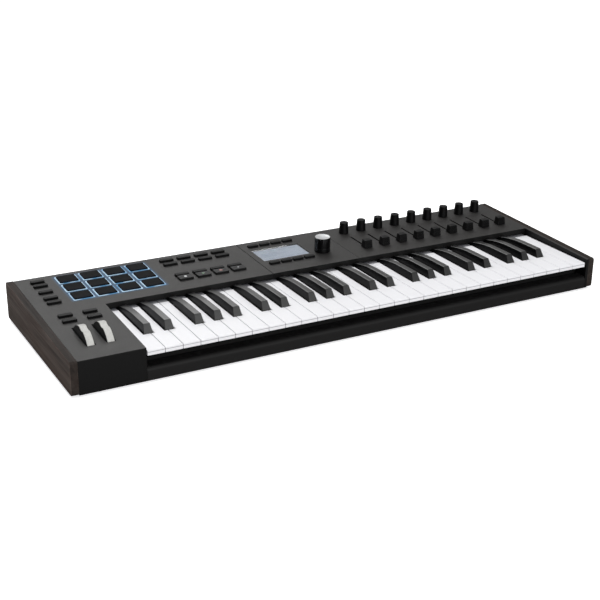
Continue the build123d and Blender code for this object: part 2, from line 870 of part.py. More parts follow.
# The slide potentiometers below the slots, each a box with a groove for the stem.
with BuildPart() as fader_pots:
    pot_size = (8.0, 62.0)
    pot_places = grid(fader_xs, [slot_y])
    raised_blocks(pot_places, pot_size, board_top, control_top, edge_round)
    with BuildSketch(panel_plane.offset(stem_low - fit_gap)):
        with Locations(*pot_places):
            Rectangle(slot_width, slot_length)
    extrude(amount=control_top - stem_low + overrun, mode=Mode.SUBTRACT)
save(fader_pots, "fader_pots")

# Pitch and modulation wheels: half discs with a finger scoop near the top.
for name, x in wheel_x.items():
    with BuildPart() as wheel:
        with BuildSketch(side_plane(x - wheel_width / 2)):
            with Locations((wheel_y, wheel_z)):
                with BuildLine():
                    rim_start = straight_up - wheel_half_arc
                    rim = CenterArc((wheel_y, wheel_z), wheel_radius, rim_start, 2 * wheel_half_arc)
                    Line(rim @ 1, (wheel_y, wheel_z))
                    Line((wheel_y, wheel_z), rim @ 0)
                make_face()
                Circle(wheel_hub)
                Circle(axle_radius + running_gap, mode=Mode.SUBTRACT)
            scoop_reach = wheel_radius - scoop_depth + scoop_radius
            scoop_angle = math.radians(straight_up + scoop_lean)
            scoop_at = (
                wheel_y + scoop_reach * math.cos(scoop_angle),
                wheel_z + scoop_reach * math.sin(scoop_angle),
            )
            with Locations(scoop_at):
                Circle(scoop_radius, mode=Mode.SUBTRACT)
        extrude(amount=wheel_width)
        rim_edges = wheel.edges().filter_by(GeomType.CIRCLE).filter_by(
            lambda edge: edge.radius in (wheel_radius, scoop_radius)
        )
        fillet(rim_edges, edge_round)
    save(wheel, name)

# The bracket that stands on the floor and holds the axle of both wheels.
with BuildPart() as wheel_bracket:
    cheek_sheet = 2.0
    cheek_run = 16.0
    base_ends = (4.0, 2.0)
    base_reach = (42.0, 30.0)
    axle_ends = (wheel_x["pitch_wheel"] - wheel_width, wheel_x["mod_wheel"] + wheel_width)
    between = (wheel_x["pitch_wheel"] + wheel_x["mod_wheel"]) / 2
    slab(
        (axle_ends[0] - base_ends[0], axle_ends[1] + base_ends[1]),
        (wheel_y - base_reach[0], wheel_y + base_reach[1]),
        (floor_top, floor_top + cheek_sheet),
    )
    for x in (axle_ends[0] + cheek_sheet / 2, between, axle_ends[1] - cheek_sheet / 2):
        slab(
            (x - cheek_sheet / 2, x + cheek_sheet / 2),
            (wheel_y - cheek_run / 2, wheel_y + cheek_run / 2),
            (floor_top, wheel_z + wheel_hub),
        )
    with BuildSketch(side_plane(axle_ends[0])):
        with Locations((wheel_y, wheel_z)):
            Circle(axle_radius)
    extrude(amount=axle_ends[1] - axle_ends[0])
    bracket_screws = [(x, y) for x, y in screw_places if x < block_right and y < 0]
    with BuildSketch(Plane.XY.offset(floor_top)):
        with Locations(*bracket_screws):
            Circle(screw_shank + running_gap)
    extrude(amount=cheek_sheet, mode=Mode.SUBTRACT)
save(wheel_bracket, "wheel_bracket")

# === electronics ======================================================================

# Main board: hangs parallel to the deck, with a switch under every button and pad.
with BuildPart() as main_board:
    board_front = 20.0
    board_rear = 124.0
    board_edge = 6.0
    ear_front = -30.0
    with BuildSketch(panel_plane.offset(-board_depth)):
        with BuildLine():
            Polyline(
                (-inner_half + board_edge, ear_front),
                (block_right - 2 * board_edge, ear_front),
                (block_right - 2 * board_edge, board_front),
                (inner_half - board_edge, board_front),
                (inner_half - board_edge, board_rear),
                (-inner_half + board_edge, board_rear),
                close=True,
            )
        make_face()
    extrude(amount=board_thickness)
    switch_size = (6.0, 6.0)
    switch_top = -6.2
    switch_places = left_button_places + function_places + transport_places + display_places
    raised_blocks(switch_places + pad_places, switch_size, board_top, switch_top, edge_round)
save(main_board, "main_board")

# Rear sockets: pedal jacks, MIDI in and out, and the USB port.
with BuildPart() as rear_connectors:
    nose = 1.4
    jack_body = (15.0, 14.0, 22.0)
    midi_body = (20.0, 19.0, 14.0)
    usb_body = (11.0, 5.0, 12.0)
    behind_wall = case_back - case_wall
    for x in jack_x:
        slab(
            (x - jack_body[0] / 2, x + jack_body[0] / 2),
            (behind_wall - jack_body[2], behind_wall),
            (connector_z - jack_body[1] / 2, connector_z + jack_body[1] / 2),
        )
    for x in midi_x:
        slab(
            (x - midi_body[0] / 2, x + midi_body[0] / 2),
            (behind_wall - midi_body[2], behind_wall),
            (connector_z - midi_body[1] / 2, connector_z + midi_body[1] / 2),
        )
    slab(
        (usb_x - usb_body[0] / 2, usb_x + usb_body[0] / 2),
        (behind_wall - usb_body[2], behind_wall),
        (connector_z - usb_body[1] / 2, connector_z + usb_body[1] / 2),
    )
    inner_face = Plane(origin=(0, behind_wall, connector_z), x_dir=(-1, 0, 0), z_dir=(0, 1, 0))
    with BuildSketch(inner_face):
        with Locations(*[(-x, 0) for x in jack_x]):
            Circle(jack_nose)
    extrude(amount=case_wall + nose)
    with BuildSketch(inner_face):
        with Locations(*[(-x, 0) for x in midi_x]):
            Circle(midi_nose)
        with Locations((-usb_x, 0)):
            RectangleRounded(*usb_hood, usb_corner)
    extrude(amount=case_wall)
    with BuildSketch(inner_face.offset(case_wall + nose)):
        with Locations(*[(-x, 0) for x in jack_x]):
            Circle(jack_bore)
    extrude(amount=-jack_bore_depth, mode=Mode.SUBTRACT)
    midi_ring = (7.4, 6.6)
    midi_pin_ring = 4.6
    midi_pin = 0.8
    midi_pins = 5
    half_turn = 180.0
    socket_cut = 8.0
    with BuildSketch(inner_face.offset(case_wall)):
        for x in midi_x:
            with Locations((-x, 0)):
                Circle(midi_ring[0])
                Circle(midi_ring[1], mode=Mode.SUBTRACT)
                with PolarLocations(midi_pin_ring, midi_pins, half_turn, half_turn):
                    Circle(midi_pin)
        with Locations((-usb_x, 0)):
            usb_wall = 0.4
            tongue = (6.4, 0.7)
            RectangleRounded(usb_hood[0] - 2 * usb_wall, usb_hood[1] - 2 * usb_wall, usb_hood[1] / 3)
            Rectangle(*tongue, mode=Mode.SUBTRACT)
    extrude(amount=-socket_cut, mode=Mode.SUBTRACT)
save(rear_connectors, "rear_connectors")
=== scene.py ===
import json
import math

import bmesh
import bpy
from mathutils import Matrix, Vector


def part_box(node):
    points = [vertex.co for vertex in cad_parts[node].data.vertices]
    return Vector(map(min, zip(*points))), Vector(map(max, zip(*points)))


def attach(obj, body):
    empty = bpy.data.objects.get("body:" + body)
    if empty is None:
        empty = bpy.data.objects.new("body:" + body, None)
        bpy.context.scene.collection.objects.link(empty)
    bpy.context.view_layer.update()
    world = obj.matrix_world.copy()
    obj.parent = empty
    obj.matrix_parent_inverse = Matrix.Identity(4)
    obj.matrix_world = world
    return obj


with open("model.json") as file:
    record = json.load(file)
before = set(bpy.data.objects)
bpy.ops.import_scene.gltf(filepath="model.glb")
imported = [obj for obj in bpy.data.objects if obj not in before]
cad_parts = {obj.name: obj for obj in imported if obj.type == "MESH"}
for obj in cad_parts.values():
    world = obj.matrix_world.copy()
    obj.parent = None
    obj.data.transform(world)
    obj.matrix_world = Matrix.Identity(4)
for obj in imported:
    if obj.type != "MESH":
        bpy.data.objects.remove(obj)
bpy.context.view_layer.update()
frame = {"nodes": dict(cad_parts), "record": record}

# === case floor, front rail and rear wall ==========================================
# One moulding in black ABS with a fine spark texture. It carries the feet, the keybed
# and the sockets, and it is screwed up into the frames inside.


def tone(red, green, blue):
    """A colour in the 0-255 values of a paint card, as the linear value a shader takes."""
    return tuple((part / 255) ** 2.2 for part in (red, green, blue)) + (1.0,)


def add_node(tree, kind, inputs=None, **settings):
    """A node in a tree. An input takes a value, or follows another node's output."""
    made = tree.nodes.new(kind)
    for name, value in settings.items():
        setattr(made, name, value)
    for name, value in (inputs or {}).items():
        if isinstance(value, bpy.types.NodeSocket):
            tree.links.new(value, made.inputs[name])
        else:
            made.inputs[name].default_value = value
    return made


def remap(tree, value, low=0.0, high=1.0, to_low=0.0, to_high=1.0):
    """Stretch a value from one span to another, and hold it there."""
    spans = {"Value": value, "From Min": low, "From Max": high, "To Min": to_low, "To Max": to_high}
    return add_node(tree, "ShaderNodeMapRange", spans).outputs["Result"]


def blend(tree, mask, first, second):
    """The first colour where the mask is nothing, and the second where it is one."""
    values = {"Fac": mask, "Color1": first, "Color2": second}
    return add_node(tree, "ShaderNodeMixRGB", values).outputs["Color"]


def scaled(tree, colour, level):
    """A colour made darker or paler by a level."""
    values = {0: colour, "Scale": level}
    return add_node(tree, "ShaderNodeVectorMath", values, operation="SCALE").outputs["Vector"]


def maths(tree, operation, *values):
    """Arithmetic on numbers or sockets."""
    return add_node(tree, "ShaderNodeMath", dict(enumerate(values)), operation=operation).outputs[0]


def own_place(tree):
    """Where each point of a piece is, in metres."""
    return add_node(tree, "ShaderNodeTexCoord").outputs["Object"]


def noise(tree, place, scale, detail, distortion=0.0):
    """Soft clouds, from nothing to one."""
    values = {"Vector": place, "Scale": scale, "Detail": detail, "Distortion": distortion}
    return add_node(tree, "ShaderNodeTexNoise", values).outputs["Fac"]


def relief(tree, height, distance, strength):
    """A fine relief on a surface."""
    values = {"Strength": strength, "Distance": distance, "Height": height}
    return add_node(tree, "ShaderNodeBump", values).outputs["Normal"]


def feed(shader, colour, rough, normal=None):
    """Lead a changing colour, roughness and relief into a shader."""
    for label, socket in (("Base Color", colour), ("Roughness", rough), ("Normal", normal)):
        if socket:
            shader.id_data.links.new(socket, shader.inputs[label])


def new_group(name, inputs, outputs):
    """An empty shader group with named inputs and outputs."""
    group = bpy.data.node_groups.new(name, "ShaderNodeTree")
    for label, kind, value in inputs:
        socket = group.interface.new_socket(label, in_out="INPUT", socket_type=kind)
        socket.default_value = value
    for label, kind in outputs:
        group.interface.new_socket(label, in_out="OUTPUT", socket_type=kind)
    entry = group.nodes.new("NodeGroupInput").outputs
    leave = group.nodes.new("NodeGroupOutput").inputs
    return group, entry, leave


def make_moulded_surface():
    """Moulded or painted surface: drifting shade, spark-eroded grain, softened edges, and a colour on the
    edges that is rubbed wear on most pieces and a painted glow on the pads.
    """
    colour, number, vector = "NodeSocketColor", "NodeSocketFloat", "NodeSocketVector"
    group, entry, leave = new_group(
        "moulded_surface",
        [
            ("Colour", colour, (0.5, 0.5, 0.5, 1.0)),
            ("Rub And Glow Colour", colour, (0.6, 0.6, 0.6, 1.0)),
            ("Shade", number, 0.1),
            ("Shade Scale", number, 9.0),
            ("Grain Scale", number, 1500.0),
            ("Grain Depth", number, 0.00002),
            ("Fleck", number, 0.1),
            ("Roughness", number, 0.5),
            ("Roughness Spread", number, 0.1),
            ("Edge Radius", number, 0.0004),
            ("Rub And Glow Amount", number, 0.3),
        ],
        [("Colour", colour), ("Roughness", number), ("Normal", vector), ("Grain", number)],
    )
    place = own_place(group)
    drift = noise(group, place, entry["Shade Scale"], 4.0)
    grain = noise(group, place, entry["Grain Scale"], 2.0)
    smudge = noise(group, place, 38.0, 3.0, 0.6)
    soft = add_node(group, "ShaderNodeBevel", {"Radius": entry["Edge Radius"]}, samples=4)
    facing = add_node(group, "ShaderNodeNewGeometry").outputs["Normal"]
    turned = add_node(
        group, "ShaderNodeVectorMath", {0: soft.outputs["Normal"], 1: facing}, operation="DOT_PRODUCT"
    ).outputs["Value"]
    rub = remap(group, turned, 0.995, 0.8)
    patchy = remap(group, smudge, 0.35, 0.6)
    rub_and_glow = maths(group, "MULTIPLY", rub, patchy)
    rub_and_glow = maths(group, "MULTIPLY", rub_and_glow, entry["Rub And Glow Amount"])
    level = maths(group, "MULTIPLY_ADD", drift, entry["Shade"], 1.0)
    half = maths(group, "MULTIPLY_ADD", entry["Shade"], -0.5, level)
    pale = maths(group, "ADD", 1.0, entry["Fleck"])
    deep = maths(group, "SUBTRACT", 1.0, entry["Fleck"])
    fleck = remap(group, grain, 0.3, 0.7, to_low=deep, to_high=pale)
    scale = maths(group, "MULTIPLY", half, fleck)
    shaded = scaled(group, entry["Colour"], scale)
    mixed = blend(group, rub_and_glow, shaded, entry["Rub And Glow Colour"])
    centred = maths(group, "ADD", smudge, -0.5)
    rough = add_node(
        group,
        "ShaderNodeMath",
        {0: centred, 1: entry["Roughness Spread"], 2: entry["Roughness"]},
        operation="MULTIPLY_ADD",
        use_clamp=True,
    ).outputs[0]
    bump = add_node(
        group,
        "ShaderNodeBump",
        {
            "Strength": 1.0,
            "Distance": entry["Grain Depth"],
            "Height": grain,
            "Normal": soft.outputs["Normal"],
        },
    ).outputs["Normal"]
    group.links.new(mixed, leave["Colour"])
    group.links.new(rough, leave["Roughness"])
    group.links.new(bump, leave["Normal"])
    group.links.new(grain, leave["Grain"])
    return group


moulded_surface = make_moulded_surface()


def blank_material(name, **constants):
    """A material with its own shader, whose plain values are set straight on the sockets."""
    made = bpy.data.materials.new(name)
    made.use_nodes = True
    shader = made.node_tree.nodes["Principled BSDF"]
    for label, value in constants.items():
        shader.inputs[label.replace("_", " ")].default_value = value
    return made, made.node_tree, shader


def moulded(name, values, **constants):
    """A material for a moulded or painted piece, from the shared surface group."""
    made, tree, shader = blank_material(name, **constants)
    surface = add_node(tree, "ShaderNodeGroup", node_tree=moulded_surface)
    for label, value in values.items():
        surface.inputs[label].default_value = value
    feed(shader, surface.outputs["Colour"], surface.outputs["Roughness"], surface.outputs["Normal"])
    return made


def upward_faces(tree, low=0.55, high=0.85):
    """A mask that is one on faces that look up and nothing on walls."""
    facing = add_node(tree, "ShaderNodeNewGeometry").outputs["Normal"]
    up = add_node(tree, "ShaderNodeSeparateXYZ", {0: facing}).outputs["Z"]
    return remap(tree, up, low, high)


def shade_walls(made, colour):
    """Paint shade on the walls of a piece: they take a darker colour than its top, split by the way the faces
    look, for the little light that reaches them.
    """
    tree = made.node_tree
    shader = tree.nodes["Principled BSDF"]
    top = shader.inputs["Base Color"].links[0].from_socket
    split = blend(tree, upward_faces(tree), colour, top)
    tree.links.new(split, shader.inputs["Base Color"])


def polished_top(made, polish=1.0, low=0.55, high=0.85):
    """A clear polish on the faces of a piece that look up, and none on its walls."""
    tree = made.node_tree
    weight = remap(tree, upward_faces(tree, low, high), to_high=polish)
    tree.links.new(weight, tree.nodes["Principled BSDF"].inputs["Coat Weight"])


def dress(material, *names):
    """Give CAD nodes their finish."""
    for name in names:
        slots = frame["nodes"][name].data.materials
        slots.clear()
        slots.append(material)


case_black = moulded(
    "case_black",
    {
        "Colour": tone(14, 13, 13),
        "Rub And Glow Colour": tone(34, 34, 35),
        "Shade": 0.25,
        "Grain Scale": 1300.0,
        "Grain Depth": 0.00003,
        "Roughness": 0.66,
        "Roughness Spread": 0.08,
        "Edge Radius": 0.0006,
        "Rub And Glow Amount": 0.25,
    },
    Specular_IOR_Level=0.3,
)
dress(case_black, "bottom_case")

# === side cheeks ===================================================================
# Two 10 mm boards of dark stained wood, rounded over and oiled, screwed on from inside.
# The grain runs from the front edge to the rear. The top and the front and rear edges carry a painted shade,
# darker than the faces that look left and right.


def stretched(tree, place, scale):
    """Places for a pattern that is drawn out along one direction."""
    return add_node(tree, "ShaderNodeMapping", {"Vector": place, "Scale": scale}).outputs[0]


cheek_wood, wood_tree, wood_shader = blank_material("cheek_wood", Specular_IOR_Level=0.12)
wood_place = own_place(wood_tree)
ring_place = stretched(wood_tree, wood_place, (210.0, 5.0, 120.0))
fibre_place = stretched(wood_tree, wood_place, (1100.0, 22.0, 1100.0))
cloud_place = stretched(wood_tree, wood_place, (30.0, 9.0, 40.0))
rings = noise(wood_tree, ring_place, 1.0, 5.0, 0.9)
fibres = noise(wood_tree, fibre_place, 1.0, 4.0)
clouds = noise(wood_tree, cloud_place, 1.0, 2.0)
ring_mask = remap(wood_tree, rings, 0.36, 0.64)
ring_colour = blend(wood_tree, ring_mask, tone(74, 67, 63), tone(106, 97, 92))
cloud_mask = remap(wood_tree, clouds, 0.35, 0.7, to_high=0.6)
tinted = blend(wood_tree, cloud_mask, ring_colour, tone(96, 80, 73))
pore_mask = remap(wood_tree, fibres, 0.28, 0.46, to_low=0.55, to_high=1.0)
# Painted shade: faces that do not look left or right are darkened, down to about a quarter, and the pores
# darken as well.
board_facing = add_node(wood_tree, "ShaderNodeNewGeometry").outputs["Normal"]
board_side = add_node(wood_tree, "ShaderNodeSeparateXYZ", {0: board_facing}).outputs["X"]
board_flat = maths(wood_tree, "ABSOLUTE", board_side)
face_shade = remap(wood_tree, board_flat, 0.3, 0.8, to_low=0.26)
pores_and_face_shade = maths(wood_tree, "MULTIPLY", pore_mask, face_shade)
wood_colour = scaled(wood_tree, tinted, pores_and_face_shade)
wood_rough = remap(wood_tree, fibres, to_low=0.72, to_high=0.55)
wood_bump = relief(wood_tree, fibres, 0.00008, 0.8)
feed(wood_shader, wood_colour, wood_rough, wood_bump)
dress(cheek_wood, "left_cheek", "right_cheek")

# === keybed, axle, springs and wheel bracket =======================================
# The keybed is folded sheet steel in a black powder coat. The rod, springs, bracket and
# screws are zinc-plated, with pale flowers and a brushed direction along the keyboard.

steel, steel_tree, steel_shader = blank_material("plated_steel", Metallic=1.0)
steel_place = own_place(steel_tree)
brush_place = stretched(steel_tree, steel_place, (14.0, 900.0, 900.0))
brushed = noise(steel_tree, brush_place, 1.0, 3.0)
flowers = add_node(
    steel_tree, "ShaderNodeTexVoronoi", {"Vector": steel_place, "Scale": 140.0}
).outputs["Color"]
steel_colour = blend(steel_tree, brushed, tone(168, 172, 176), tone(205, 208, 210))
steel_mixed = add_node(
    steel_tree,
    "ShaderNodeMixRGB",
    {"Fac": 0.12, "Color1": steel_colour, "Color2": flowers},
    blend_type="SOFT_LIGHT",
).outputs["Color"]
steel_rough = remap(steel_tree, brushed, to_low=0.28, to_high=0.46)
steel_bump = relief(steel_tree, brushed, 0.00002, 0.5)
feed(steel_shader, steel_mixed, steel_rough, steel_bump)
dress(steel, "key_axle", "key_springs", "wheel_bracket", "case_screws")

powder_coat = moulded(
    "powder_coat",
    {
        "Colour": tone(12, 12, 12),
        "Rub And Glow Colour": tone(60, 61, 63),
        "Shade": 0.2,
        "Shade Scale": 20.0,
        "Grain Scale": 800.0,
        "Grain Depth": 0.00006,
        "Roughness": 0.7,
        "Roughness Spread": 0.1,
        "Edge Radius": 0.0005,
        "Rub And Glow Amount": 0.15,
    },
    Specular_IOR_Level=0.2,
)
dress(powder_coat, "keybed_frame")

# === keys ==========================================================================
# White keys are polished ABS caps. Black keys are textured ABS with a satin top that
# fingers have polished a little. Each clips on a lever that turns on the steel rod.

white_key = moulded(
    "white_key",
    {
        "Colour": tone(238, 238, 241),
        "Rub And Glow Colour": tone(226, 226, 226),
        "Shade": 0.03,
        "Shade Scale": 14.0,
        "Grain Scale": 420.0,
        "Grain Depth": 0.000002,
        "Fleck": 0.008,
        "Roughness": 0.34,
        "Roughness Spread": 0.1,
        "Edge Radius": 0.0004,
        "Rub And Glow Amount": 0.2,
    },
    Specular_IOR_Level=0.25,
)
black_key = moulded(
    "black_key",
    {
        "Colour": tone(11, 11, 12),
        "Rub And Glow Colour": tone(40, 40, 43),
        "Shade": 0.12,
        "Grain Scale": 1700.0,
        "Grain Depth": 0.00002,
        "Roughness": 0.3,
        "Roughness Spread": 0.14,
        "Edge Radius": 0.0007,
        "Rub And Glow Amount": 0.35,
    },
    Specular_IOR_Level=0.1,
    Coat_Roughness=0.28,
    Coat_IOR=1.75,
)
polished_top(black_key, 1.0, 0.3, 0.48)

# The stepped rear end of a white key gets a painted shade in grey, for the shadow under the deck's lip, and
# the groove in its lip is greyed too.
white_tree = white_key.node_tree
white_shader = white_tree.nodes["Principled BSDF"]
step_run = 0.1364
groove_drop = 0.00245
white_low, white_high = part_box("keys_c")
step_y = white_low.y + step_run
groove_z = white_high.z - groove_drop
white_place = own_place(white_tree)
white_parts = add_node(white_tree, "ShaderNodeSeparateXYZ", {0: white_place}).outputs
# Painted shade: the rear step is coloured grey.
behind = remap(white_tree, white_parts["Y"], step_y - 0.0002, step_y + 0.0001, to_high=0.85)
groove_off = maths(white_tree, "SUBTRACT", white_parts["Z"], groove_z)
groove_away = maths(white_tree, "ABSOLUTE", groove_off)
groove_mask = remap(white_tree, groove_away, 0.0005, 0.0002, to_high=0.7)
greyed = maths(white_tree, "MAXIMUM", behind, groove_mask)
plain_white = white_shader.inputs["Base Color"].links[0].from_socket
white_mixed = blend(white_tree, greyed, plain_white, tone(112, 112, 118))
white_tree.links.new(white_mixed, white_shader.inputs["Base Color"])
note_names = "c c_sharp d d_sharp e f f_sharp g g_sharp a a_sharp b".split()
for note in note_names:
    dress(black_key if "sharp" in note else white_key, f"keys_{note}")

# === top panel and centre panel ====================================================
# A sheet moulding with an anthracite paint that has a fine leather-like texture; its
# walls carry a painted shade, near black. The centre panel is let in flush.

deck_lean = math.radians(1.769)
deck_middle = 0.0515
deck_turn = Matrix.Rotation(deck_lean, 4, "X")


def on_deck(x, y, rise=0.0):
    """A place above the sloping deck, from x and depth on its face."""
    foot = Vector((x, y, deck_middle + y * math.tan(deck_lean)))
    return foot + rise * Vector((0, -math.sin(deck_lean), math.cos(deck_lean)))


panel_paint = moulded(
    "panel_paint",
    {
        "Colour": tone(44, 43, 42),
        "Rub And Glow Colour": tone(80, 79, 78),
        "Shade": 0.16,
        "Shade Scale": 5.0,
        "Grain Scale": 1150.0,
        "Grain Depth": 0.00007,
        "Roughness": 0.55,
        "Roughness Spread": 0.1,
        "Edge Radius": 0.0005,
        "Rub And Glow Amount": 0.35,
    },
    Specular_IOR_Level=0.22,
    Coat_Roughness=0.5,
)
# Painted shade: the walls of the panels are coloured near black.
shade_walls(panel_paint, tone(8, 7, 7))
polished_top(panel_paint, 0.26)
dress(panel_paint, "top_panel", "centre_panel")

# Painted glow: the pads' blue light is painted on the paint between and just around them
# as a weak emission. A mask falls off from the block of light frames, and it is strongest near its middle.
paint_tree = panel_paint.node_tree
paint_shader = paint_tree.nodes["Principled BSDF"]
paint_place = own_place(paint_tree)
glow_fade = 0.005
glow_inset = 0.001
glow_low, glow_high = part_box("pad_light_frames")
glow_middle = (glow_low + glow_high) / 2
glow_reach = (glow_high - glow_low) / 2
glow_from = add_node(
    paint_tree, "ShaderNodeVectorMath", {0: paint_place, 1: glow_middle}, operation="SUBTRACT"
).outputs["Vector"]
glow_part = add_node(paint_tree, "ShaderNodeSeparateXYZ", {0: glow_from})
painted_glow_mask = 1.0
for axis, reach in (("X", glow_reach.x), ("Y", glow_reach.y)):
    away = maths(paint_tree, "ABSOLUTE", glow_part.outputs[axis])
    near = add_node(
        paint_tree,
        "ShaderNodeMapRange",
        {"Value": away, "From Min": reach + glow_fade, "From Max": reach - glow_inset},
        interpolation_type="SMOOTHSTEP",
    ).outputs["Result"]
    painted_glow_mask = maths(paint_tree, "MULTIPLY", painted_glow_mask, near)
painted_glow_colour = blend(paint_tree, painted_glow_mask, tone(0, 0, 0), tone(20, 128, 190))
paint_tree.links.new(painted_glow_colour, paint_shader.inputs["Emission Color"])
paint_shader.inputs["Emission Strength"].default_value = 0.24

# Painted shade: below the deck's face, on the floors of seams and clearances, the colour goes near black.
deck_up = Vector((0, -math.sin(deck_lean), math.cos(deck_lean)))
above = add_node(
    paint_tree, "ShaderNodeVectorMath", {0: paint_place, 1: deck_up}, operation="DOT_PRODUCT"
).outputs["Value"]
face_level = deck_middle * math.cos(deck_lean)
recess_shade_depth = 0.0006
recess_shade_edge = 0.0002
painted = remap(paint_tree, above, face_level - recess_shade_depth, face_level - recess_shade_edge)
paint_top = paint_shader.inputs["Base Color"].links[0].from_socket
paint_mixed = blend(paint_tree, painted, tone(6, 6, 6), paint_top)
paint_tree.links.new(paint_mixed, paint_shader.inputs["Base Color"])

# === pads and their light frames ===================================================
# Silicone pads, each in a clear frame let into the deck, lit from below in blue. The
# light fades between the lamps on the board.

# The edge colour of the pads is a painted blue glow from the lit frames, not wear.
pad_rubber = moulded(
    "pad_rubber",
    {
        "Colour": tone(9, 12, 15),
        "Rub And Glow Colour": tone(10, 40, 74),
        "Shade": 0.2,
        "Shade Scale": 30.0,
        "Grain Scale": 900.0,
        "Grain Depth": 0.00004,
        "Roughness": 0.75,
        "Roughness Spread": 0.12,
        "Edge Radius": 0.0012,
        "Rub And Glow Amount": 0.9,
    },
    Specular_IOR_Level=0.12,
)
for pad_row in ("front", "middle", "rear"):
    dress(pad_rubber, f"pads_{pad_row}_row")

light_guide, guide_tree, guide_shader = blank_material("light_guide", Roughness=0.35, Emission_Strength=0.3)
guide_place = own_place(guide_tree)
lamps = noise(guide_tree, guide_place, 62.0, 1.0)
lamp_mask = remap(guide_tree, lamps, 0.38, 0.58)
guide_light = blend(guide_tree, lamp_mask, tone(70, 124, 164), tone(164, 192, 212))
guide_rough = remap(guide_tree, lamps, to_low=0.25, to_high=0.5)
guide_tree.links.new(guide_light, guide_shader.inputs["Emission Color"])
feed(guide_shader, guide_light, guide_rough)
dress(light_guide, "pad_light_frames")

# === push buttons ==================================================================
# Small caps in the colour of the deck, standing 3 mm proud on rubber domes. The four
# transport caps are darker, with small inlaid signs in clear coloured plastic. The walls
# of all the caps carry a painted shade, near black.

button_cap = moulded(
    "button_cap",
    {
        "Colour": tone(20, 20, 20),
        "Rub And Glow Colour": tone(60, 60, 60),
        "Shade": 0.1,
        "Grain Scale": 1500.0,
        "Grain Depth": 0.00003,
        "Roughness": 0.5,
        "Roughness Spread": 0.1,
        "Edge Radius": 0.0004,
        "Rub And Glow Amount": 0.3,
    },
    Specular_IOR_Level=0.15,
)
# Painted shade: the walls of the caps are coloured near black.
shade_walls(button_cap, tone(9, 9, 10))
transport_cap = moulded(
    "transport_cap",
    {
        "Colour": tone(16, 16, 17),
        "Rub And Glow Colour": tone(56, 56, 58),
        "Shade": 0.12,
        "Grain Scale": 1500.0,
        "Grain Depth": 0.00003,
        "Roughness": 0.46,
        "Roughness Spread": 0.12,
        "Edge Radius": 0.0004,
        "Rub And Glow Amount": 0.3,
    },
    Specular_IOR_Level=0.25,
)
# Painted shade on the walls of the transport caps too.
shade_walls(transport_cap, tone(9, 9, 10))
dress(button_cap, "left_buttons", "function_buttons", "display_buttons")
dress(transport_cap, "transport_buttons")


def solid_boxes(node):
    """The corners of each separate solid of a CAD node, from left to right, then front to back."""
    copy = bmesh.new()
    copy.from_mesh(frame["nodes"][node].data)
    bmesh.ops.remove_doubles(copy, verts=copy.verts, dist=1e-6)
    waiting = set(copy.verts)
    boxes = []
    while waiting:
        front = [waiting.pop()]
        corners = []
        while front:
            vert = front.pop()
            corners.append(vert.co.copy())
            for edge in vert.link_edges:
                other = edge.other_vert(vert)
                if other in waiting:
                    waiting.remove(other)
                    front.append(other)
        low = Vector([min(co[axis] for co in corners) for axis in range(3)])
        high = Vector([max(co[axis] for co in corners) for axis in range(3)])
        boxes.append((low, high))
    copy.free()
    return sorted(boxes, key=lambda pair: (round(pair[0].x, 4), round(pair[0].y, 4)))


def finish_piece(name, mesh, material, body):
    """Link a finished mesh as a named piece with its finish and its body."""
    piece = bpy.data.objects.new(name, mesh)
    bpy.context.scene.collection.objects.link(piece)
    mesh.materials.clear()
    mesh.materials.append(material)
    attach(piece, body)
    return piece


def plain_mesh(name, shape):
    """The finished mesh of a shape under way."""
    mesh = bpy.data.meshes.new(name)
    shape.to_mesh(mesh)
    shape.free()
    return mesh


def flat_shapes(name, outlines, thickness):
    """A mesh of thin plates with chamfered rims lying on the deck, from outlines given as
    (centre, points across and up the slope); the centre is where the plate's underside sits."""
    chamfer = thickness / 3
    shapes = bmesh.new()
    for centre, points in outlines:
        middle = Vector((sum(p[0] for p in points), sum(p[1] for p in points))) / len(points)
        rings = []
        for level, inset in ((0, 0), (thickness - chamfer, 0), (thickness, chamfer)):
            ring = []
            for point in points:
                inward = (middle - Vector(point)).normalized() * inset
                local = Vector((point[0] + inward.x, point[1] + inward.y, level))
                ring.append(shapes.verts.new(centre + deck_turn.to_3x3() @ local))
            rings.append(ring)
        count = len(points)
        for low, high in zip(rings, rings[1:]):
            for index in range(count):
                after = (index + 1) % count
                shapes.faces.new((low[index], low[after], high[after], high[index]))
        shapes.faces.new(rings[-1])
        shapes.faces.new(list(reversed(rings[0])))
    return plain_mesh(name, shapes)


def regular_outline(sides, radius, start=0.0):
    """Corners of a regular shape, counted round from the start angle in degrees."""
    step = 2 * math.pi / sides
    angles = [math.radians(start) + step * index for index in range(sides)]
    return [(radius * math.cos(angle), radius * math.sin(angle)) for angle in angles]


def inlay(name, colour, glow):
    """A clear plastic inlay with a little light behind it."""
    made, tree, shader = blank_material(name, Roughness=0.3, Emission_Strength=glow)
    place = own_place(tree)
    cloud = noise(tree, place, 500.0, 2.0)
    dim = tuple(part * 0.7 for part in colour[:3]) + (1.0,)
    mixed = blend(tree, cloud, dim, colour)
    tree.links.new(mixed, shader.inputs["Base Color"])
    tree.links.new(mixed, shader.inputs["Emission Color"])
    return made


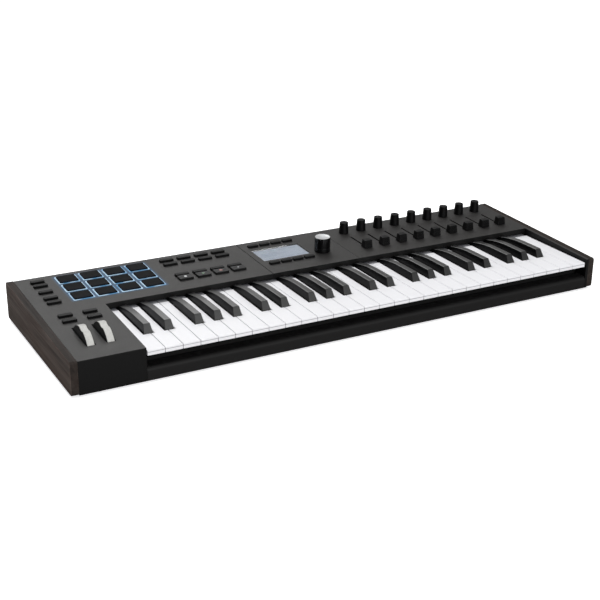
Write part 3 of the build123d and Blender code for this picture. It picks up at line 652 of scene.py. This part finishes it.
button_rise = 0.0030
sign_lift = 0.00003
sign_thickness = 0.0002
sign_radius = 0.0026
sign_colours = (tone(205, 208, 208), tone(96, 128, 100), tone(128, 84, 80), tone(165, 167, 170))
sign_names = ("stop", "play", "record", "loop")
sign_outlines = (
    regular_outline(4, sign_radius, 45),
    regular_outline(3, sign_radius * 1.1),
    regular_outline(24, sign_radius),
    regular_outline(20, sign_radius * 0.5),
)
for (low, high), sign, colour, outline in zip(
    solid_boxes("transport_buttons"), sign_names, sign_colours, sign_outlines
):
    centre = on_deck((low.x + high.x) / 2, (low.y + high.y) / 2, button_rise + sign_lift)
    sign_mesh = flat_shapes(f"{sign}_sign", [(centre, outline)], sign_thickness)
    sign_finish = inlay(f"{sign}_inlay", colour, 0.1)
    finish_piece(f"{sign}_sign", sign_mesh, sign_finish, "transport_buttons")

# === display =======================================================================
# A backlit liquid-crystal module under a clear polycarbonate window, which sits on a
# ledge in the centre panel. The screen shows only plain bars and boxes.

screen, screen_tree, screen_shader = blank_material("screen_glow", Roughness=0.4, Emission_Strength=0.62)
screen_place = own_place(screen_tree)
across = add_node(screen_tree, "ShaderNodeSeparateXYZ", {0: screen_place}).outputs["X"]
window_low, window_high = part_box("display_window")
fade = remap(screen_tree, across, window_low.x, window_low.x * 0.35 + window_high.x * 0.65)
screen_colour = blend(screen_tree, fade, tone(150, 157, 167), tone(152, 160, 172))
dots = add_node(screen_tree, "ShaderNodeTexChecker", {"Vector": screen_place, "Scale": 1800.0}).outputs["Fac"]
dot_level = remap(screen_tree, dots, to_low=0.95, to_high=1.0)
screen_mixed = scaled(screen_tree, screen_colour, dot_level)
screen_tree.links.new(screen_mixed, screen_shader.inputs["Emission Color"])
screen_tree.links.new(screen_mixed, screen_shader.inputs["Base Color"])
dress(screen, "display_module")

window_clear, window_tree, window_shader = blank_material(
    "window_clear", Transmission_Weight=1.0, IOR=1.49, Specular_IOR_Level=0.2
)
window_place = own_place(window_tree)
hazing = add_node(window_tree, "ShaderNodeTexNoise", {"Vector": window_place, "Scale": 60.0, "Detail": 4.0})
window_rough = remap(window_tree, hazing.outputs["Fac"], to_low=0.0, to_high=0.03)
window_tint = blend(window_tree, hazing.outputs["Fac"], tone(244, 247, 250), tone(252, 253, 254))
feed(window_shader, window_tint, window_rough)
dress(window_clear, "display_window")

screen_depth = -0.0024
bar_thickness = 0.0002
label_pitch = 0.0165
label_rows = (0.0135, -0.0135)
label_half_width = 0.00625
label_half_height = 0.0011
list_left = -0.030
list_half_height = 0.0012
list_rows = ((0.0055, -0.004), (0.0005, 0.010), (-0.0045, -0.010))
window_middle = (window_low + window_high) / 2


def bar_outline(left, right, half_height):
    """The four corners of a plain bar."""
    return [(left, -half_height), (right, -half_height), (right, half_height), (left, half_height)]


screen_bars = []
for column in range(4):
    bar_x = window_middle.x + (column - 1.5) * label_pitch
    for bar_y in label_rows:
        corners = bar_outline(-label_half_width, label_half_width, label_half_height)
        screen_bars.append((on_deck(bar_x, window_middle.y + bar_y, screen_depth), corners))
for bar_y, list_right in list_rows:
    corners = bar_outline(list_left, list_right, list_half_height)
    screen_bars.append((on_deck(window_middle.x, window_middle.y + bar_y, screen_depth), corners))
bar_mesh = flat_shapes("screen_bars", screen_bars, bar_thickness)
finish_piece("screen_bars", bar_mesh, inlay("screen_ink", tone(146, 157, 172), 0.6), "case")

# === knobs and main encoder ========================================================
# Black rubbery caps with fine moulded grip ribs, pushed on to the encoder shafts. The
# main encoder has a gloss side with a raised ring low down and a spun aluminium top.

knob_black = moulded(
    "knob_black",
    {
        "Colour": tone(9, 9, 10),
        "Rub And Glow Colour": tone(38, 38, 40),
        "Shade": 0.15,
        "Shade Scale": 60.0,
        "Grain Scale": 2200.0,
        "Grain Depth": 0.00002,
        "Roughness": 0.42,
        "Roughness Spread": 0.14,
        "Edge Radius": 0.0006,
        "Rub And Glow Amount": 0.4,
    },
    Specular_IOR_Level=0.17,
)
gloss_black = moulded(
    "gloss_black",
    {
        "Colour": tone(8, 8, 9),
        "Rub And Glow Colour": tone(30, 30, 32),
        "Shade": 0.1,
        "Grain Scale": 1200.0,
        "Grain Depth": 0.000003,
        "Roughness": 0.22,
        "Roughness Spread": 0.1,
        "Edge Radius": 0.0005,
        "Rub And Glow Amount": 0.25,
    },
    Specular_IOR_Level=0.35,
)
knob_names = [f"knob_{index}" for index in range(1, 10)]
dress(knob_black, *knob_names)
dress(gloss_black, "encoder_knob")
dress(steel, "encoder_shaft")


def new_repeat_tree(name, sizes):
    """An empty geometry tree with named sizes and a finish; returns it, its inputs and its output."""
    tree = bpy.data.node_groups.new(name, "GeometryNodeTree")
    for label, value in sizes.items():
        kind = "NodeSocketInt" if isinstance(value, int) else "NodeSocketFloat"
        tree.interface.new_socket(label, in_out="INPUT", socket_type=kind).default_value = value
    tree.interface.new_socket("Finish", in_out="INPUT", socket_type="NodeSocketMaterial")
    tree.interface.new_socket("Geometry", in_out="OUTPUT", socket_type="NodeSocketGeometry")
    entry = tree.nodes.new("NodeGroupInput").outputs
    return tree, entry, tree.nodes.new("NodeGroupOutput").inputs["Geometry"]


def end_repeat_tree(tree, entry, leave, copies):
    """Make the copies real and give them their finish."""
    real = add_node(tree, "GeometryNodeRealizeInstances", {"Geometry": copies}).outputs[0]
    done = add_node(tree, "GeometryNodeSetMaterial", {"Geometry": real, "Material": entry["Finish"]})
    tree.links.new(done.outputs[0], leave)
    return tree


def make_grip_tree():
    """Ribs set round a circle, each leaning with the side of the cap."""
    sizes = {"Ribs": 24, "Foot Radius": 0.007, "Rib Height": 0.0125, "Rib Radius": 0.0003, "Lean": 0.0}
    tree, entry, leave = new_repeat_tree("grip_ribs", sizes)
    circle = add_node(
        tree, "GeometryNodeMeshCircle", {"Vertices": entry["Ribs"], "Radius": entry["Foot Radius"]}
    ).outputs["Mesh"]
    tip = maths(tree, "MULTIPLY", entry["Rib Radius"], 0.6)
    rib = add_node(
        tree,
        "GeometryNodeMeshCone",
        {"Vertices": 6, "Side Segments": 1, "Radius Top": tip, "Radius Bottom": entry["Rib Radius"],
         "Depth": entry["Rib Height"]},
        fill_type="TRIANGLE_FAN",
    ).outputs["Mesh"]
    number = add_node(tree, "GeometryNodeInputIndex").outputs[0]
    share = maths(tree, "DIVIDE", number, entry["Ribs"])
    angle = maths(tree, "MULTIPLY", share, 2 * math.pi)
    turn = add_node(tree, "ShaderNodeCombineXYZ", {"Y": entry["Lean"], "Z": angle}).outputs[0]
    ribs = add_node(
        tree, "GeometryNodeInstanceOnPoints", {"Points": circle, "Instance": rib, "Rotation": turn}
    ).outputs["Instances"]
    return end_repeat_tree(tree, entry, leave, ribs)


grip_tree = make_grip_tree()


def grown(tree, values, place):
    """The plain mesh a node tree gives for these inputs, moved to its place."""
    seed_mesh = bpy.data.meshes.new("seed")
    seed = bpy.data.objects.new("seed", seed_mesh)
    bpy.context.scene.collection.objects.link(seed)
    modifier = seed.modifiers.new("grow", "NODES")
    modifier.node_group = tree
    for item in tree.interface.items_tree:
        if item.in_out == "INPUT" and item.name in values:
            modifier[item.identifier] = values[item.name]
    seen = bpy.context.evaluated_depsgraph_get()
    mesh = bpy.data.meshes.new_from_object(seed.evaluated_get(seen))
    bpy.data.objects.remove(seed)
    mesh.transform(place)
    return mesh


knob_foot = 0.0074
knob_top = 0.0064
knob_tall = 0.0169
rib_count = 24
rib_run = 0.0125
rib_radius = 0.00032
rib_proud = 0.00002
rib_lift = 0.0012
knob_offset = 0.0002
for name in knob_names:
    low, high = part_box(name)
    middle = (low + high) / 2
    place = Matrix.Translation(on_deck(middle.x, middle.y + knob_offset, rib_lift)) @ deck_turn
    ribs = grown(
        grip_tree,
        {
            "Ribs": rib_count,
            "Foot Radius": (knob_foot + knob_top) / 2 + rib_proud,
            "Rib Height": rib_run,
            "Rib Radius": rib_radius,
            "Lean": -math.atan((knob_foot - knob_top) / knob_tall),
            "Finish": knob_black,
        },
        place,
    )
    finish_piece(f"{name}_grip", ribs, knob_black, name)


def turned(name, profile, steps, place):
    """A closed shape turned round its own upright axis from (radius, height) points."""
    shape = bmesh.new()
    rings = []
    for radius, height in profile:
        if radius == 0:
            rings.append([shape.verts.new((0, 0, height))])
            continue
        angles = [2 * math.pi * step / steps for step in range(steps)]
        rings.append([shape.verts.new((radius * math.cos(a), radius * math.sin(a), height)) for a in angles])
    if len(rings[0]) > 1:
        rings.append(rings[0])
    for inner, outer in zip(rings, rings[1:]):
        for step in range(steps):
            after = (step + 1) % steps
            corners = [inner[step % len(inner)], inner[after % len(inner)]]
            corners += [outer[after % len(outer)], outer[step % len(outer)]]
            shape.faces.new(list(dict.fromkeys(corners)))
    bmesh.ops.recalc_face_normals(shape, faces=shape.faces)
    mesh = plain_mesh(name, shape)
    mesh.transform(place)
    for face in mesh.polygons:
        face.use_smooth = True
    mesh.set_sharp_from_angle(angle=math.radians(35))
    return mesh


spun_metal, spun_tree, spun_shader = blank_material("spun_aluminium", Metallic=0.85)
spun_place = own_place(spun_tree)
encoder_low, encoder_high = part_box("encoder_knob")
encoder_middle = (encoder_low + encoder_high) / 2
spun_centre = add_node(
    spun_tree, "ShaderNodeVectorMath", {0: spun_place, 1: tuple(encoder_middle)}, operation="SUBTRACT"
).outputs[0]
spun_rings = add_node(
    spun_tree,
    "ShaderNodeTexWave",
    {"Vector": spun_centre, "Scale": 620.0, "Distortion": 0.4, "Detail": 2.0},
    wave_type="RINGS",
    rings_direction="Z",
).outputs["Fac"]
spun_colour = blend(spun_tree, spun_rings, tone(214, 216, 218), tone(240, 241, 242))
spun_rough = remap(spun_tree, spun_rings, to_low=0.3, to_high=0.42)
spun_bump = relief(spun_tree, spun_rings, 0.00001, 0.4)
feed(spun_shader, spun_colour, spun_rough, spun_bump)

turned_steps = 96
encoder_lift = 0.0009
encoder_tall = 0.0213
encoder_axis_y = encoder_middle.y + (encoder_lift + encoder_tall / 2) * math.sin(deck_lean)
encoder_seat = Matrix.Translation(on_deck(encoder_middle.x, encoder_axis_y)) @ deck_turn
encoder_top = encoder_lift + encoder_tall
cap_profile = [
    (0.0, encoder_top - 0.0002),
    (0.0108, encoder_top - 0.0002),
    (0.0109, encoder_top + 0.0002),
    (0.0107, encoder_top + 0.0004),
    (0.0099, encoder_top + 0.0004),
    (0.0091, encoder_top + 0.0002),
    (0.0, encoder_top + 0.0002),
]
cap_mesh = turned("encoder_cap", cap_profile, turned_steps, encoder_seat)
finish_piece("encoder_cap", cap_mesh, spun_metal, "encoder_knob")
ring_low = encoder_lift + 0.005
ring_profile = [
    (0.0108, ring_low + 0.0001),
    (0.0114, ring_low + 0.0002),
    (0.0115, ring_low + 0.00045),
    (0.0114, ring_low + 0.0007),
    (0.0108, ring_low + 0.0008),
]
ring_mesh = turned("encoder_ring", ring_profile, turned_steps, encoder_seat)
finish_piece("encoder_ring", ring_mesh, gloss_black, "encoder_knob")

# === faders ========================================================================
# Black moulded caps pushed on to the flat stems of the slide controls. Each cap tapers
# upwards and has ridges across its front and rear, where a finger pushes it.

fader_names = [f"fader_{index}" for index in range(1, 10)]
dress(knob_black, *fader_names)
fader_foot = (0.0134, 0.012)
fader_head = (0.0116, 0.009)
fader_lift = 0.0008
fader_tall = 0.0115
ridge_count = 4
ridge_first = 0.3
ridge_pitch = 0.18
ridge_radius = 0.00028
ridge_sides = 6
ridge_margin = 0.0022
ridge_sink = 0.00005
ridge_taper = 0.0004
ridge_tip = 0.35
for name in fader_names:
    low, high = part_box(name)
    middle_x = (low.x + high.x) / 2
    middle_y = (low.y + high.y) / 2
    shape = bmesh.new()
    for level in range(ridge_count):
        share = ridge_first + ridge_pitch * level
        half = (fader_foot[0] + (fader_head[0] - fader_foot[0]) * share - ridge_margin) / 2
        reach = (fader_foot[1] + (fader_head[1] - fader_foot[1]) * share) / 2
        for side in (-1, 1):
            centre = Vector((0, side * (reach - ridge_sink), fader_lift + fader_tall * share))
            ends = [(-half, ridge_tip), (ridge_taper - half, 1), (half - ridge_taper, 1), (half, ridge_tip)]
            loops = []
            for x, scale in ends:
                radius = scale * ridge_radius
                loop = []
                for step in range(ridge_sides):
                    angle = 2 * math.pi * step / ridge_sides
                    offset = Vector((x, radius * math.cos(angle), radius * math.sin(angle)))
                    loop.append(shape.verts.new(centre + offset))
                loops.append(loop)
            for first, second in zip(loops, loops[1:]):
                for step in range(ridge_sides):
                    after = (step + 1) % ridge_sides
                    shape.faces.new((first[step], first[after], second[after], second[step]))
            shape.faces.new(loops[0])
            shape.faces.new(loops[-1])
    bmesh.ops.recalc_face_normals(shape, faces=shape.faces)
    ridges = plain_mesh(f"{name}_ridges", shape)
    ridges.transform(Matrix.Translation(on_deck(middle_x, middle_y)) @ deck_turn)
    finish_piece(f"{name}_ridges", ridges, knob_black, name)

# === pitch and modulation wheels ===================================================
# Moulded discs with a light grey tread round the rim between black side plates; the
# tread has fine lengthwise lines so that a finger grips it.

tread_half = 0.0043
tread_edge = 0.0002
for name in ("pitch_wheel", "mod_wheel"):
    low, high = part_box(name)
    middle_x = (low.x + high.x) / 2
    wheel_tread, tread_tree, tread_shader = blank_material(f"{name}_tread")
    tread_place = own_place(tread_tree)
    tread_x = add_node(tread_tree, "ShaderNodeSeparateXYZ", {0: tread_place}).outputs["X"]
    off_centre = maths(tread_tree, "ADD", tread_x, -middle_x)
    distance = maths(tread_tree, "ABSOLUTE", off_centre)
    side_mask = remap(tread_tree, distance, tread_half, tread_half + tread_edge)
    lines = add_node(
        tread_tree,
        "ShaderNodeTexWave",
        {"Vector": tread_place, "Scale": 260.0, "Distortion": 0.2},
        bands_direction="X",
    ).outputs["Fac"]
    dust = noise(tread_tree, tread_place, 240.0, 4.0)
    tread_grey = blend(tread_tree, lines, tone(176, 176, 172), tone(206, 206, 202))
    dust_level = remap(tread_tree, dust, 0.3, 0.7, to_low=0.88, to_high=1.04)
    tread_dusty = scaled(tread_tree, tread_grey, dust_level)
    tread_colour = blend(tread_tree, side_mask, tread_dusty, tone(24, 24, 25))
    tread_rough = remap(tread_tree, dust, to_low=0.38, to_high=0.56)
    tread_bump = relief(tread_tree, lines, 0.00005, 0.6)
    feed(tread_shader, tread_colour, tread_rough, tread_bump)
    dress(wheel_tread, name)

# === boards and controls inside ====================================================
# Glass-fibre boards with green solder mask, tinned pads and copper traces, and the
# plain black bodies of the encoders and slide potentiometers.

board, board_tree, board_shader = blank_material("circuit_board", Roughness=0.4)
board_place = own_place(board_tree)
traces = add_node(
    board_tree, "ShaderNodeTexBrick",
    {"Vector": board_place, "Scale": 90.0, "Mortar Size": 0.03, "Color1": tone(22, 84, 52),
     "Color2": tone(28, 96, 60), "Mortar": tone(60, 130, 84)},
).outputs["Color"]
board_pads = add_node(
    board_tree, "ShaderNodeTexVoronoi", {"Vector": board_place, "Scale": 210.0}
).outputs["Distance"]
pad_mask = remap(board_tree, board_pads, 0.16, 0.12)
board_colour = blend(board_tree, pad_mask, traces, tone(200, 202, 198))
board_tree.links.new(board_colour, board_shader.inputs["Base Color"])
board_tree.links.new(pad_mask, board_shader.inputs["Metallic"])
dress(board, "main_board", "key_contact_board")
dress(case_black, "knob_encoders", "fader_pots")

# === rear sockets ==================================================================
# Black moulded sockets pushed through the rear wall: four pedal jacks with bright
# nuts, two round five-pole sockets with their pins, and the metal-lined data port.

dress(case_black, "rear_connectors")
rear_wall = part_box("bottom_case")[1].y
jack_turn = Matrix.Rotation(math.radians(-90), 4, "X")
nut_profile = [
    (0.0034, 0.0),
    (0.0034, 0.0016),
    (0.0040, 0.0019),
    (0.0052, 0.0019),
    (0.0056, 0.0015),
    (0.0056, 0.0),
]
for mount in frame["record"]["mounts"]:
    if not mount["name"].startswith("pedal_jack"):
        continue
    x, mouth_z = mount["pos_m"][0], mount["pos_m"][2]
    place = Matrix.Translation((x, rear_wall, mouth_z)) @ jack_turn
    nut = turned(f"{mount['name']}_nut", nut_profile, 48, place)
    finish_piece(f"{mount['name']}_nut", nut, steel, "case")


def make_pin_tree():
    """Round contact pins spaced along an arc, with domed ends."""
    sizes = {"Pins": 5, "Ring Radius": 0.0046, "Pin Radius": 0.00055, "Pin Length": 0.0062}
    tree, entry, leave = new_repeat_tree("contact_pins", sizes)
    arc = add_node(
        tree,
        "GeometryNodeCurveArc",
        {
            "Resolution": entry["Pins"],
            "Radius": entry["Ring Radius"],
            "Start Angle": 0.0,
            "Sweep Angle": math.pi,
        },
        mode="RADIUS",
    ).outputs["Curve"]
    shank = add_node(
        tree,
        "GeometryNodeMeshCylinder",
        {"Vertices": 12, "Radius": entry["Pin Radius"], "Depth": entry["Pin Length"]},
    ).outputs["Mesh"]
    half = maths(tree, "MULTIPLY", entry["Pin Length"], 0.5)
    lift = add_node(tree, "ShaderNodeCombineXYZ", {"Z": half}).outputs[0]
    dome = add_node(
        tree, "GeometryNodeMeshUVSphere", {"Segments": 12, "Rings": 6, "Radius": entry["Pin Radius"]}
    ).outputs["Mesh"]
    tip = add_node(tree, "GeometryNodeTransform", {"Geometry": dome, "Translation": lift}).outputs[0]
    pin = tree.nodes.new("GeometryNodeJoinGeometry")
    tree.links.new(shank, pin.inputs[0])
    tree.links.new(tip, pin.inputs[0])
    points = add_node(tree, "GeometryNodeCurveToPoints", {"Curve": arc}, mode="EVALUATED").outputs["Points"]
    pins = add_node(
        tree, "GeometryNodeInstanceOnPoints", {"Points": points, "Instance": pin.outputs[0]}
    ).outputs["Instances"]
    return end_repeat_tree(tree, entry, leave, pins)


pin_tree = make_pin_tree()
pin_depth = 0.0045
for mount in frame["record"]["mounts"]:
    if not mount["name"].startswith("midi_"):
        continue
    place = Matrix.Translation((mount["pos_m"][0], rear_wall - pin_depth, mount["pos_m"][2])) @ jack_turn
    pins = grown(pin_tree, {"Finish": steel}, place)
    finish_piece(f"{mount['name']}_pins", pins, steel, "case")

# === rubber feet ===================================================================
# Six soft black rubber discs, stuck in place under the floor of the case. Their rims
# are rubbed grey and dusty where they have slid on a table.

foot_rubber = moulded(
    "foot_rubber",
    {
        "Colour": tone(32, 32, 32),
        "Rub And Glow Colour": tone(84, 80, 76),
        "Shade": 0.3,
        "Shade Scale": 60.0,
        "Grain Scale": 700.0,
        "Grain Depth": 0.00006,
        "Roughness": 0.78,
        "Roughness Spread": 0.12,
        "Edge Radius": 0.0008,
        "Rub And Glow Amount": 0.8,
    },
)
dress(foot_rubber, "rubber_feet")

# === floor, light and camera =======================================================
# A plain pale floor under soft boxes behind, above and in front, and a long lens that
# looks down from the front left. None of it belongs to the keyboard.

floor_size = 30.0
floor_corners = [(floor_size * x, floor_size * y, 0) for x, y in ((-1, -1), (1, -1), (1, 1), (-1, 1))]
floor_mesh = bpy.data.meshes.new("floor")
floor_mesh.from_pydata(floor_corners, [], [(0, 1, 2, 3)])
floor = bpy.data.objects.new("floor", floor_mesh)
bpy.context.scene.collection.objects.link(floor)
floor_paint, floor_tree, floor_shader = blank_material("floor_paint", Roughness=0.9)
floor_shader.inputs["Specular IOR Level"].default_value = 0.0
ray = add_node(floor_tree, "ShaderNodeLightPath").outputs["Is Camera Ray"]
floor_colour = blend(floor_tree, ray, tone(150, 150, 150), tone(252, 252, 252))
floor_tree.links.new(floor_colour, floor_shader.inputs["Base Color"])
floor_tree.links.new(ray, floor_shader.inputs["Emission Strength"])
floor_shader.inputs["Emission Color"].default_value = tone(205, 205, 206)
floor_mesh.materials.append(floor_paint)


def soft_light(name, place, target, width, height, power):
    """A rectangular soft light that faces its target."""
    lamp = bpy.data.lights.new(name, "AREA")
    lamp.shape = "RECTANGLE"
    lamp.size = width
    lamp.size_y = height
    lamp.energy = power
    holder = bpy.data.objects.new(name, lamp)
    bpy.context.scene.collection.objects.link(holder)
    holder.location = place
    holder.rotation_euler = (Vector(target) - Vector(place)).to_track_quat("-Z", "Y").to_euler()


soft_light("rear_softbox", (-0.2, 1.9, 1.75), (0, 0, 0.05), 2.4, 1.2, 28)
soft_light("top_softbox", (0.0, 0.1, 2.2), (0.1, 0, 0.05), 2.2, 1.6, 20)
soft_light("front_fill", (0.0, -2.4, 0.7), (0.1, 0, 0.05), 2.6, 1.2, 44)

world = bpy.data.worlds.new("studio")
bpy.context.scene.world = world
world.use_nodes = True
world.node_tree.nodes["Background"].inputs["Color"].default_value = (1, 1, 1, 1)
world.node_tree.nodes["Background"].inputs["Strength"].default_value = 0.35
bpy.context.scene.view_settings.view_transform = "Standard"

camera_data = bpy.data.cameras.new("camera")
camera_data.lens = 71.67
camera_data.sensor_width = 36.0
camera_data.shift_x = -0.0233
camera_data.shift_y = 0.0015
camera = bpy.data.objects.new("camera", camera_data)
bpy.context.scene.collection.objects.link(camera)
bpy.context.scene.camera = camera
camera_place = (-0.7608, -1.3784, 0.6419)
camera_turn = math.radians(-29.01)
camera_roll = math.radians(0.75)
back = Vector((-0.44948898, -0.81044064, 0.37569353))
level = Vector((math.cos(camera_turn), math.sin(camera_turn), 0))
upright = back.cross(level)
right = level * math.cos(camera_roll) + upright * math.sin(camera_roll)
up = upright * math.cos(camera_roll) - level * math.sin(camera_roll)
camera_axes = Matrix((right, up, back)).transposed().to_4x4()
camera.matrix_world = Matrix.Translation(camera_place) @ camera_axes
